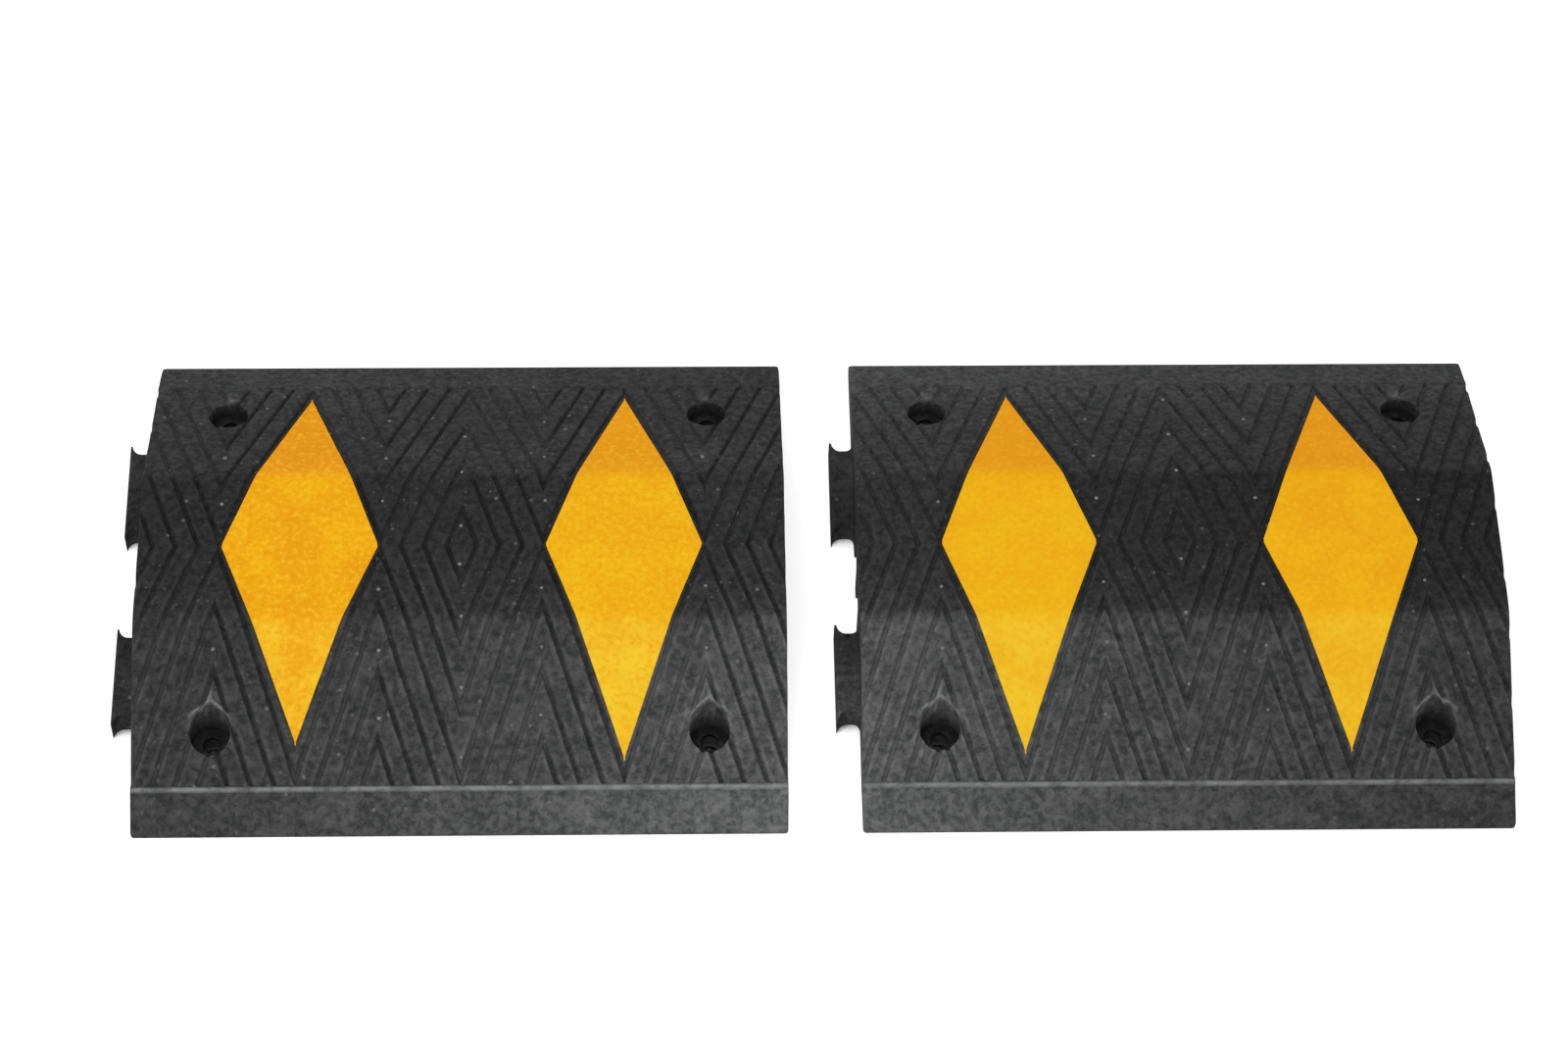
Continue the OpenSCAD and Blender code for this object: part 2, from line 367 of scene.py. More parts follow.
MERGE = 0.004  # plan points closer than this become one
# Rings around a seat, out from its radius, and how far out the plan is meshed again
SEAT_RINGS = (-0.4, 0, 0.12, 0.4, 0.8, 1.4, 2.3, 3.4, 4.6, 5.8, 6.8)
SEAT_ZONE = 7.0
# The wall under the top's rim first falls by this much, or to this share of its height if that is higher
WALL_RING, WALL_SHARE = 2.0, 0.6


def reach_levels(first_groove, has_film):
    """The reaches that the plan's lines follow: close together across a groove's sides."""
    levels = [0.0, HALF_DEPTH + SLANT * CELL / 2 + 1]
    for number in range(first_groove, OUTER_GROOVES + 1):
        middle = OUTLINE_REACH + number * REACH_STEP
        for off, _ in GROOVE_SHAPE:
            levels += [middle - off * STRETCH, middle + off * STRETCH]
        levels += [middle + REACH_STEP * share for share in LAND_LEVELS]
    if has_film:
        levels += [FILM_HALF + off * STRETCH for off, _ in RECESS_SHAPE]
        levels += list(np.linspace(0, FILM_HALF - FILM_LEVELS_END, FILM_LEVELS))
    else:
        levels += [OUTLINE_REACH - INNER_GROOVES * REACH_STEP - LAND_LEVELS[0] * REACH_STEP]
    kept = []
    for level in sorted(levels):
        if level >= 0 and (not kept or level - kept[-1] > LEVEL_GAP * STRETCH):
            kept.append(level)
    return kept


def points_and_faces(bm):
    """A flat mesh as plain numbers, without its loose points."""
    bmesh.ops.delete(bm, geom=[v for v in bm.verts if not v.link_faces], context="VERTS")
    bm.verts.index_update()
    points = np.array([v.co[:2] for v in bm.verts])
    faces = [[v.index for v in f.verts] for f in bm.faces]
    bm.free()
    return points, faces


def quarter_cell(columns, first_groove, has_film):
    """Plan of a quarter of a tread cell: x from the cell's middle line, y from the crest's."""
    levels = reach_levels(first_groove, has_film)
    bm = bmesh.new()
    grid = [[bm.verts.new((u, f - SLANT * u, 0)) for f in levels] for u in columns]
    for one, two in zip(grid, grid[1:]):
        for low_a, low_b, high_b, high_a in zip(one, two, two[1:], one[1:]):
            corners = [low_a, low_b, high_b, high_a]
            if max(c.co.y for c in corners) > 0 and min(c.co.y for c in corners) < HALF_DEPTH:
                bm.faces.new(corners)
    for row in ROWS:
        everything = [*bm.verts, *bm.edges, *bm.faces]
        bmesh.ops.bisect_plane(bm, geom=everything, dist=0.01, plane_co=(0, row, 0), plane_no=(0, 1, 0),
                               clear_inner=row == 0, clear_outer=row == HALF_DEPTH)
    return points_and_faces(bm)


def refine_seat(bm, bolt):
    """Meshes the plan around a bolt seat again, with rings that its rounded rim can follow."""
    hub = Vector((bolt[0], bolt[1], 0))

    def near(edge):
        """Whether an edge passes within reach of the seat."""
        foot, share = intersect_point_line(hub, edge.verts[0].co, edge.verts[1].co)
        share = min(max(share, 0), 1)
        foot = edge.verts[0].co.lerp(edge.verts[1].co, share)
        return (foot - hub).length < SEAT_RADIUS + SEAT_ZONE

    # Each once, and in an order that is the same each run, which a set's isn't
    faces = list(dict.fromkeys(f for e in bm.edges if near(e) for f in e.link_faces))
    verts = list(dict.fromkeys(v for f in faces for v in f.verts))
    edges = list(dict.fromkeys(e for f in faces for e in f.edges))
    number = {v: i for i, v in enumerate(verts)}
    points = [v.co.xy for v in verts]
    links = [(number[e.verts[0]], number[e.verts[1]]) for e in edges]
    for step in SEAT_RINGS:
        radius = SEAT_RADIUS + step
        first = len(points)
        for i in range(SEAT_SIDES):
            turn = math.tau * i / SEAT_SIDES
            points.append(Vector((bolt[0] + radius * math.cos(turn), bolt[1] + radius * math.sin(turn))))
            links.append((first + i, first + (i + 1) % SEAT_SIDES))
    made, _, triangles, *_ = delaunay_2d_cdt(points, links, [], 1, 1e-5)
    bmesh.ops.delete(bm, geom=faces, context="FACES")
    new = [bm.verts.new((p.x, p.y, 0)) for p in made]
    for triangle in triangles:
        bm.faces.new([new[i] for i in triangle])


def top_plan(bolts):
    """Plan of a whole section's top as (points, faces), all wound the same way."""
    kinds = {
        "plain": quarter_cell(CELL_COLUMNS, -INNER_GROOVES, False),
        "end": quarter_cell(END_COLUMNS, -INNER_GROOVES, False),
        "film": quarter_cell(CELL_COLUMNS, 0, True),
    }
    bm = bmesh.new()
    for cell in range(-2, 3):
        kind = "film" if cell % 2 else "plain" if cell == 0 else "end"
        points, faces = kinds[kind]
        for along in (-1, 1):
            if abs(cell * CELL + along) > HALF_LENGTH:
                continue
            for across in (-1, 1):
                verts = [bm.verts.new((cell * CELL + along * x, across * y, 0)) for x, y in points]
                for face in faces:
                    corners = [verts[i] for i in face]
                    bm.faces.new(corners if along * across > 0 else corners[::-1])
    bmesh.ops.remove_doubles(bm, verts=bm.verts, dist=MERGE)
    for bolt in bolts:
        refine_seat(bm, bolt)
    bmesh.ops.remove_doubles(bm, verts=bm.verts, dist=MERGE)
    return points_and_faces(bm)


def round_corners(x, y):
    """Rounds the section's four upright corners in plan."""
    radius = CORNER_ROUND
    a = np.clip((np.abs(x) - (HALF_LENGTH - radius)) / radius, 0, 1)
    b = np.clip((np.abs(y) - (HALF_DEPTH - radius)) / radius, 0, 1)
    both = (a > 0) & (b > 0)
    round_x = np.sign(x) * (HALF_LENGTH - radius + radius * a * np.sqrt(1 - b * b / 2))
    round_y = np.sign(y) * (HALF_DEPTH - radius + radius * b * np.sqrt(1 - a * a / 2))
    return np.where(both, round_x, x), np.where(both, round_y, y)


def extrude_rim(bm, new_height):
    """Adds a wall below a mesh's open rim, down to new_height(z)."""
    rim = [e for e in bm.edges if len(e.link_faces) == 1]
    for made in bmesh.ops.extrude_edge_only(bm, edges=rim)["geom"]:
        if isinstance(made, bmesh.types.BMVert):
            made.co.z = new_height(made.co.z)


def moulded_block(name, plan, bolts, centre, seed):
    """The section's block with its finished top, closed at the sides and below."""
    points, faces = plan
    x, y = points[:, 0], points[:, 1]
    z = top_height(x, y, bolts, seed)
    shrink = END_SHRINK * (1 + waves(0 * x, y, seed + 3, *END_WAVES))
    shrink = shrink * smooth_step(np.abs(x), HALF_LENGTH - END_ZONE, HALF_LENGTH)
    x, y = round_corners(x, y)
    x = x - np.sign(x) * shrink
    mesh = mesh_of(name, np.column_stack([x, y, z]), faces, centre)
    bm = bmesh.new()
    bm.from_mesh(mesh)
    bmesh.ops.recalc_face_normals(bm, faces=bm.faces)
    if sum(f.normal.z for f in bm.faces) < 0:
        bmesh.ops.reverse_faces(bm, faces=bm.faces)
    extrude_rim(bm, lambda z: max(z - WALL_RING * MM, WALL_SHARE * z))
    extrude_rim(bm, lambda z: 0)
    rim = [e for e in bm.edges if len(e.link_faces) == 1]
    bmesh.ops.contextual_create(bm, geom=rim)
    bmesh.ops.recalc_face_normals(bm, faces=bm.faces)
    bmesh.ops.triangulate(bm, faces=[f for f in bm.faces if len(f.verts) > 4])
    bm.to_mesh(mesh)
    bm.free()
    return new_object(name, mesh)


# ------------------------ cutters, tabs
def revolve(points, faces, profile, centre_x, centre_y):
    """Adds a closed solid turned from a profile of (radius, height) that starts and ends on the axis."""
    first = len(points)
    inner = profile[1:-1]
    points.append((centre_x, centre_y, profile[0][1]))
    for r, z in inner:
        for i in range(SEAT_SIDES):
            turn = math.tau * i / SEAT_SIDES
            points.append((centre_x + r * math.cos(turn), centre_y + r * math.sin(turn), z))
    points.append((centre_x, centre_y, profile[-1][1]))
    last = len(points) - 1

    def ring(k, i):
        """Number of a point on one of the rings."""
        return first + 1 + k * SEAT_SIDES + i % SEAT_SIDES

    for i in range(SEAT_SIDES):
        faces.append((first, ring(0, i + 1), ring(0, i)))
        for k in range(len(inner) - 1):
            faces.append((ring(k, i), ring(k, i + 1), ring(k + 1, i + 1), ring(k + 1, i)))
        faces.append((last, ring(len(inner) - 1, i), ring(len(inner) - 1, i + 1)))


def band(low, count):
    """Faces between a ring of points, numbered from low, and the ring that follows it."""
    return [(low + i, low + j, low + count + j, low + count + i)
            for i, j in ((i, (i + 1) % count) for i in range(count))]


def prism(points, faces, outline, place):
    """Adds a closed prism: an outline of (a, b) pairs, and place(a, b, end) for its two ends."""
    first, count = len(points), len(outline)
    points += [place(a, b, 0) for a, b in outline] + [place(a, b, 1) for a, b in outline]
    faces.append(range(first, first + count)[::-1])
    faces.append(range(first + count, first + 2 * count))
    faces += band(first, count)


def solid(name, points, faces, centre):
    """A closed helper mesh with its faces turned outwards."""
    obj = new_object(name, mesh_of(name, points, faces, centre))
    bm = bmesh.new()
    bm.from_mesh(obj.data)
    bmesh.ops.recalc_face_normals(bm, faces=bm.faces)
    if bm.calc_volume(signed=True) < 0:
        bmesh.ops.reverse_faces(bm, faces=bm.faces)
    bmesh.ops.triangulate(bm, faces=bm.faces)
    bm.to_mesh(obj.data)
    bm.free()
    return obj


def arc(centre_x, centre_y, radius, start, stop, steps=6):
    """Points on an arc, with angles in degrees."""
    turns = np.radians(np.linspace(start, stop, steps))
    return [(centre_x + radius * math.cos(t), centre_y + radius * math.sin(t)) for t in turns]


def bolt_cutter(bolts, centre):
    """The sunk seats and bolt holes."""
    points, faces = [], []
    profile = [(0, -PAST), (BOLT_RADIUS, -PAST), (BOLT_RADIUS, SEAT_FLOOR - BOLT_CHAMFER),
               (BOLT_RADIUS + BOLT_CHAMFER, SEAT_FLOOR),
               *((SEAT_RADIUS + out, SEAT_FLOOR + up) for out, up in SEAT_FILLET),
               (SEAT_RADIUS, HEIGHT + PAST), (0, HEIGHT + PAST)]
    for bolt_x, bolt_y in bolts:
        revolve(points, faces, profile, bolt_x, bolt_y)
    return solid("bolt_cutter", points, faces, centre)


def underside_cutter(centre):
    """Cable channels and the sockets for the next section's tabs."""
    points, faces = [], []
    round_top = corner = 4.0
    half = CHANNEL_WIDTH / 2
    arch = [(-half, -PAST), (half, -PAST),
            *arc(half - round_top, CHANNEL_HEIGHT - round_top, round_top, 0, 90),
            *arc(round_top - half, CHANNEL_HEIGHT - round_top, round_top, 90, 180)]
    far = HALF_LENGTH + 2 * PAST
    for side in (-1, 1):
        prism(points, faces, arch, lambda a, b, end: (far * (2 * end - 1), side * CHANNEL_OFFSET + a, b))
        root, tip = TAB_ROOT / 2 + TAB_CLEARANCE, TAB_TIP / 2 + TAB_CLEARANCE
        deep = TAB_REACH + TAB_CLEARANCE
        plan = [(PAST, -root), (PAST, root), (0, root), (corner - deep, tip), (-deep, tip - corner),
                (-deep, corner - tip), (corner - deep, -tip), (0, -root)]
        top = TAB_HEIGHT + TAB_CLEARANCE
        prism(points, faces, plan,
              lambda a, b, end: (HALF_LENGTH + a, side * TAB_OFFSET + b, -PAST + (top + PAST) * end))
    return solid("underside_cutter", points, faces, centre)


def hollow_cutter(bolts, centre):
    """The shallow recesses in the base, kept clear of the bolt seats."""
    points, faces = [], []
    length = (2 * HALF_LENGTH - 2 * HOLLOW_END - (HOLLOW_COLUMNS - 1) * HOLLOW_RIB) / HOLLOW_COLUMNS
    corner = 3.0
    outline = []
    for x, y, start in ((length - corner, corner, -90), (length - corner, HOLLOW_WIDTH - corner, 0),
                        (corner, HOLLOW_WIDTH - corner, 90), (corner, corner, 180)):
        outline += arc(x, y, corner, start, start + 90, 5)
    for side in (-1, 1):
        front = HOLLOW_START if side > 0 else -HOLLOW_START - HOLLOW_WIDTH
        for column in range(HOLLOW_COLUMNS):
            left = HOLLOW_END - HALF_LENGTH + column * (length + HOLLOW_RIB)
            prism(points, faces, outline,
                  lambda a, b, end: (left + a, front + b, -PAST + (PAST + HOLLOW_DEPTH) * end))
    cutter = solid("hollow_cutter", points, faces, centre)
    points, faces = [], []
    keep, deep = SEAT_RADIUS + SEAT_WALL, -3 * PAST
    for bolt_x, bolt_y in bolts:
        revolve(points, faces, [(0, deep), (keep, deep), (keep, HEIGHT), (0, HEIGHT)], bolt_x, bolt_y)
    combine(cutter, solid("seat_keeper", points, faces, centre), "DIFFERENCE")
    return cutter


def tab_outline():
    """Half plan of a tab: a rounded neck that flares into a sharp horn. X is 0 at the end face."""
    root, tip = TAB_ROOT / 2, TAB_TIP / 2
    neck, blunt = 5.0, 0.5
    horn = tip - root + blunt
    flare = arc(-TAB_REACH + horn + 0.55, root + horn, horn, 270, 186, 9)
    return [(PAST, root + neck), *arc(-neck, root + neck, neck, 360, 270, 6), *flare,
            (-TAB_REACH + 0.3, tip - 0.1), (-TAB_REACH, tip - blunt)]


def tabs(centre):
    """The two dovetail tabs at the left end."""
    points, faces = [], []
    half = tab_outline()
    plan = half + [(x, -y) for x, y in reversed(half)]
    inner = [(x + TAB_CHAMFER * (x < 0), y - math.copysign(TAB_CHAMFER, y)) for x, y in plan]
    for side in (-1, 1):
        first, count = len(points), len(plan)
        for outline, z in ((plan, TAB_LIFT), (plan, TAB_HEIGHT - TAB_CHAMFER), (inner, TAB_HEIGHT)):
            points += [(x - HALF_LENGTH, side * TAB_OFFSET + y, z) for x, y in outline]
        faces.append(range(first, first + count))
        faces.append(range(first + 2 * count, first + 3 * count))
        faces += band(first, count) + band(first + count, count)
    return solid("tabs", points, faces, centre)


# ------------------------ pieces
def store(mesh, name, values):
    """Stores one number per vertex for the materials to read."""
    attribute = mesh.attributes.new(name, "FLOAT", "POINT")
    attribute.data.foreach_set("value", np.asarray(values, np.float32))


def finish_mesh(obj, angle):
    """Smooth shading with crisp edges where faces meet at more than an angle."""
    mesh = obj.data
    mesh.polygons.foreach_set("use_smooth", np.ones(len(mesh.polygons), bool))
    mesh.set_sharp_from_angle(angle=math.radians(angle))
    mesh.update()


def mark_rubber(mesh, section, seed):
    """Numbers on the moulding for its material: where it is sunk, where painted shade and painted light go
    in the grooves, seats and across the bump, where a painted highlight (partly wear) goes, and where it is
    dusty or gritty.
    """
    bolts, side = section["bolts"], section["side"]
    co = np.zeros(len(mesh.vertices) * 3, np.float32)
    mesh.vertices.foreach_get("co", co)
    x, y, z = co.reshape(-1, 3).T.astype(float) / MM
    x = x - section["centre"]
    surface = top_height(x, y, bolts, seed)
    skin, base = 1.5, 0.5  # points this close to the top belong to it, and points this low to the underside
    top = z > surface - skin
    above = z > base
    # Painted shade in the grooves that cross the light, painted light in those that run along it
    groove_light = groove_painted_light(x, y, side)
    sunk = top * groove_depth(x, y) / GROOVE_SHAPE[0][1]
    store(mesh, "groove", np.maximum(groove_light, 0) * sunk ** 2)
    store(mesh, "lit_groove", np.maximum(-groove_light, 0) * sunk ** 0.7)
    # Painted highlight beside the grooves, on the front half
    shoulder = np.exp(-((groove_distance(x, y) - SHOULDER) / SHOULDER_WIDTH) ** 2)
    tread = top * (np.abs(y) < TREAD_HALF)
    store(mesh, "shoulder", shoulder * tread * smooth_step(-y, -CREST_HALF, CREST_HALF))

    # Painted highlight, partly wear: the front bead and the edges of the scoops; and a pale spot behind
    # each rear seat
    highlight_and_wear = np.maximum(1 - np.abs(y + TOE_LINE) / BEAD_HALF, 0) ** 0.7 * HIGHLIGHT_AND_WEAR[side]
    # Painted shade inside each seat and in the front seats' scoops
    seat = np.zeros(len(x))
    for bolt_x, bolt_y in bolts:
        dx, dy = x - bolt_x, y - bolt_y
        r = np.hypot(dx, dy)
        seat += (r < SEAT_RADIUS + 0.3) * (z < surface - skin) * above
        if bolt_y < 0:
            highlight_and_wear += SCOOP_HIGHLIGHT * scoop_lip(dx, dy, SCOOP_HIGHLIGHT_BEGIN)
            seat += 0.5 * scoop_depth(dx, dy) / SCOOP_DEPTH * (r > SEAT_RADIUS)
        else:
            highlight_and_wear += SPOT_PALE * np.exp(-(dx / SPOT_WIDE) ** 2 - ((dy - SPOT_PLACE) / SPOT_DEEP) ** 2)
    store(mesh, "highlight_and_wear", np.where(top, np.clip(highlight_and_wear, 0, 1), 0))
    store(mesh, "seat", np.clip(seat, 0, 1))

    # Painted pool of light: paler towards the section's inner end
    outer, inner = (np.interp(y, PAINTED_LIGHT_POOL_PLACES, shares) for shares in PAINTED_LIGHT_POOL[side])
    inward = (np.clip(-math.copysign(1, section["centre"]) * x / HALF_LENGTH, -1, 1) + 1) / 2
    shade = outer + (inner - outer) * inward ** 1.5
    store(mesh, "tone_and_painted_light", np.where(above, np.interp(y, *zip(*PAINTED_LIGHT_ACROSS)) * shade, BASE_TONE))
    store(mesh, "dust", np.where(above, np.interp(y, *zip(*DUST)), BASE_DUST))
    store(mesh, "grit", np.full(len(x), GRIT[side]))


def rubber_piece(section, plan, seed):
    """One section's rubber moulding."""
    bolts, centre = section["bolts"], section["centre"]
    obj = moulded_block(section["side"] + "_rubber", plan, bolts, centre, seed)
    combine(obj, tabs(centre), "UNION")
    combine(obj, underside_cutter(centre), "DIFFERENCE")
    combine(obj, hollow_cutter(bolts, centre), "DIFFERENCE")
    combine(obj, bolt_cutter(bolts, centre), "DIFFERENCE")
    mark_rubber(obj.data, section, seed)
    finish_mesh(obj, 48)
    obj.data.materials.clear()
    obj.data.materials.append(RUBBER)
    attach(obj, BODY_OF[section["side"]])
    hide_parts(section["side"] + "_rubber_body")
    return obj


def film_piece(section, number, seed, body_seed):
    """One diamond of reflective film, cut by hand and pressed into its recess."""
    middle, centre = section["films"][number - 1], section["centre"]
    front = TIP_TRIM[(section["side"], number)] - FILM_HALF
    rear = FILM_HALF - 1.0  # the rear tip is blunt
    near_tips = np.array([0.8, 2.4])
    rows = np.unique(np.concatenate([
        np.linspace(front, rear, FILM_ROWS), front + near_tips, rear - near_tips,
        *[side * (CREST_HALF + np.array(CREST_STEPS)) for side in (-1, 1)]]))
    edge, share, edge_drops = np.array(FILM_EDGE).T
    inside = np.linspace(0, 1, FILM_COLUMNS)
    drop = np.concatenate([edge_drops[:-1], 0 * inside, edge_drops[-2::-1]])
    points, columns = [], len(drop)
    narrowest = 0.5  # half-width at a tip
    for y in rows:
        cut = [FILM_CUT + FILM_CUT_UNEVEN * (1 + float(waves(np.array(y), 0.0, seed + k, *FILM_CUT_WAVES)))
               for k in (1, 2)]
        wide = (1 - y / (front if y < 0 else FILM_HALF)) * FILM_WIDTH / 2
        low, high = middle - max(wide - cut[0], narrowest), middle + max(wide - cut[1], narrowest)
        span = high - low
        steps = np.minimum(edge, span * share)
        line = np.concatenate([low + steps[:-1], low + steps[-1] + (span - 2 * steps[-1]) * inside,
                               high - steps[:-1][::-1]])
        ys = np.full(len(line), y)
        z = plain_top(line, ys, body_seed) - (RECESS_DEPTH - FILM_THICKNESS) - drop
        z += FILM_BUCKLE * waves(line, ys, seed + 5, *FILM_BUCKLE_WAVES)
        points.append(np.column_stack([line, ys, z]))
    top = np.concatenate(points)
    count = len(top)
    below = top.copy()
    air = 0.02  # between the film and the recess's floor
    below[:, 2] = plain_top(top[:, 0], top[:, 1], body_seed) - RECESS_DEPTH + air
    faces = []

    def at(r, c):
        """Number of a point by its row and column."""
        return r * columns + c

    for r in range(len(rows) - 1):
        for c in range(columns - 1):
            quad = [at(r, c), at(r, c + 1), at(r + 1, c + 1), at(r + 1, c)]
            faces += [quad, [count + i for i in quad[::-1]]]
    rim = [at(0, c) for c in range(columns)] + [at(r, columns - 1) for r in range(1, len(rows))]
    rim += [at(len(rows) - 1, c) for c in range(columns - 2, -1, -1)]
    rim += [at(r, 0) for r in range(len(rows) - 2, 0, -1)]
    for a, b in zip(rim, rim[1:] + rim[:1]):
        faces.append([b, a, count + a, count + b])
    name = f"{section['side']}_film_{number}"
    obj = new_object(name, mesh_of(name, np.concatenate([top, below]), faces, centre))
    finish_mesh(obj, 40)
    obj.data.materials.append(FILM[(section["side"], number)])
    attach(obj, BODY_OF[section["side"]])
    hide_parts(f"{section['side']}_reflector_{number}")
    return obj


def nib_places(bolts):
    """Where the mould's vents left a nib: in line with the cells, a little uphill of each groove."""
    places = []
    for column in range(-3, 4):
        x = column * CELL / 2
        u, has_film, _ = tread_place(np.array(x), np.array(0.0))
        for number in range(-INNER_GROOVES, OUTER_GROOVES + 1):
            v = OUTLINE_REACH + number * REACH_STEP - NIB_UPHILL - SLANT * float(u)
            inside_film = bool(has_film) and u < 1 and number <= 0
            if NIB_ROOM < v < TREAD_HALF - NIB_ROOM and not inside_film:
                places += [(x, -v), (x, v)]
    clear = SEAT_RADIUS + NIB_ROOM
    return [p for p in places if all(math.hypot(p[0] - b[0], p[1] - b[1]) > clear for b in bolts)]


def nib_piece(section, seed, body_seed):
    """The section's vent nibs: short, torn-off stubs of rubber."""
    rng = np.random.default_rng(seed)
    points, faces = [], []
    sides = NIB_SIDES
    for x, y in nib_places(section["bolts"]):
        if rng.uniform() < NIBS_LOST:
            continue
        x, y = x + rng.uniform(-1.5, 1.5), y + rng.uniform(-2, 2)
        radius, tall = rng.uniform(*NIB_RADII), rng.uniform(*NIB_HEIGHTS)
        ground = float(plain_top(np.array(x), np.array(y), body_seed))
        lean = rng.uniform(-0.2, 0.2, 2)
        first = len(points)
        rings = [(1.3, -0.5), (1.15, 0.05), (1.0, 0.25),
                 (0.97, 0.75 * tall), (0.8, 0.95 * tall), (0.4, tall)]
        for share, z in rings:
            out = max(z, 0)
            for i in range(sides):
                turn = math.tau * i / sides
                wobble = 1 + 0.06 * math.sin(3 * turn + x)
                points.append((x + radius * share * wobble * math.cos(turn) + lean[0] * out,
                               y + radius * share * wobble * math.sin(turn) + lean[1] * out, ground + z))
        last = first + (len(rings) - 1) * sides
        for low in range(first, last, sides):
            faces += band(low, sides)
        faces.append(range(first, first + sides)[::-1])
        faces.append(range(last, last + sides))
    name = section["side"] + "_vent_nibs"
    obj = new_object(name, mesh_of(name, points, faces, section["centre"]))
    finish_mesh(obj, 50)
    obj.data.materials.append(NIB)
    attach(obj, BODY_OF[section["side"]])
    return obj


# ------------------------ materials
class Nodes:
    """Short calls for building a node tree."""

    def __init__(self, tree):
        self.tree = tree

    def new(self, kind, *linked, **values):
        """A node with some settings, and its first inputs linked or set."""
        node = self.tree.nodes.new(kind)
        for key, value in values.items():
            setattr(node, key, value)
        for socket, value in zip(node.inputs, linked):
            self.put(socket, value)
        return node

    def put(self, target, value):
        """Sets a socket, or links it when the value is another socket."""
        if isinstance(value, bpy.types.NodeSocket):
            self.tree.links.new(value, target)
        else:
            target.default_value = value

    def feed(self, node, **inputs):
        """Sets or links a node's inputs, with an underscore for each space in their names."""
        for name, value in inputs.items():
            self.put(node.inputs[name.replace("_", " ")], value)
        return node

    def ramp(self, value, low, high, to_low=0.0, to_high=1.0):
        """A smooth change from to_low at low to to_high at high."""
        numbers = (value, low, high, to_low, to_high)
        return self.new("ShaderNodeMapRange", *numbers, interpolation_type="SMOOTHSTEP").outputs["Result"]

    def math(self, operation, *values):
        return self.new("ShaderNodeMath", *values, operation=operation).outputs[0]

    def times(self, a, b):
        return self.math("MULTIPLY", a, b)

    def mix(self, factor, a, b, blend="MIX"):
        node = self.new("ShaderNodeMix", data_type="RGBA", blend_type=blend)
        a, b = ((*colour, 1) if isinstance(colour, tuple) else colour for colour in (a, b))
        return self.feed(node, Factor=factor, A=a, B=b).outputs["Result"]


class Surface(Nodes):
    """The nodes of one material, with its shader and the textures that feed it."""

    def __init__(self, name):
        self.material = bpy.data.materials.new(name)
        self.material.use_nodes = True
        super().__init__(self.material.node_tree)
        self.shader = self.tree.nodes["Principled BSDF"]
        self.coords = self.new("ShaderNodeTexCoord").outputs["Object"]

    def attribute(self, name):
        return self.new("ShaderNodeAttribute", attribute_name=name).outputs["Fac"]

    def noise(self, scale, detail, roughness, distortion=0.0):
        node = self.new("ShaderNodeTexNoise", self.coords)
        self.feed(node, Scale=scale, Detail=detail, Roughness=roughness, Distortion=distortion)
        return node.outputs["Fac"]

    def cells(self, scale):
        return self.feed(self.new("ShaderNodeTexVoronoi", self.coords), Scale=scale)

    def specks(self, scale, low, high, share):
        """Scattered round specks: in the cells whose own random number is above the share."""
        cells = self.cells(scale)
        parts = self.new("ShaderNodeSeparateColor", cells.outputs["Color"])
        chosen = self.ramp(parts.outputs[0], share, share + 0.1)
        return self.times(chosen, self.ramp(cells.outputs["Distance"], low, high, 1.0, 0.0))

    def bump(self, height, distance, strength, normal=None):
        """Relief from a pattern, on top of an earlier one if that is given."""
        node = self.feed(self.new("ShaderNodeBump"), Strength=strength, Distance=distance, Height=height)
        if normal:
            self.feed(node, Normal=normal)
        return node.outputs["Normal"]

    def shade(self, **inputs):
        self.feed(self.shader, **inputs)
        return self.material


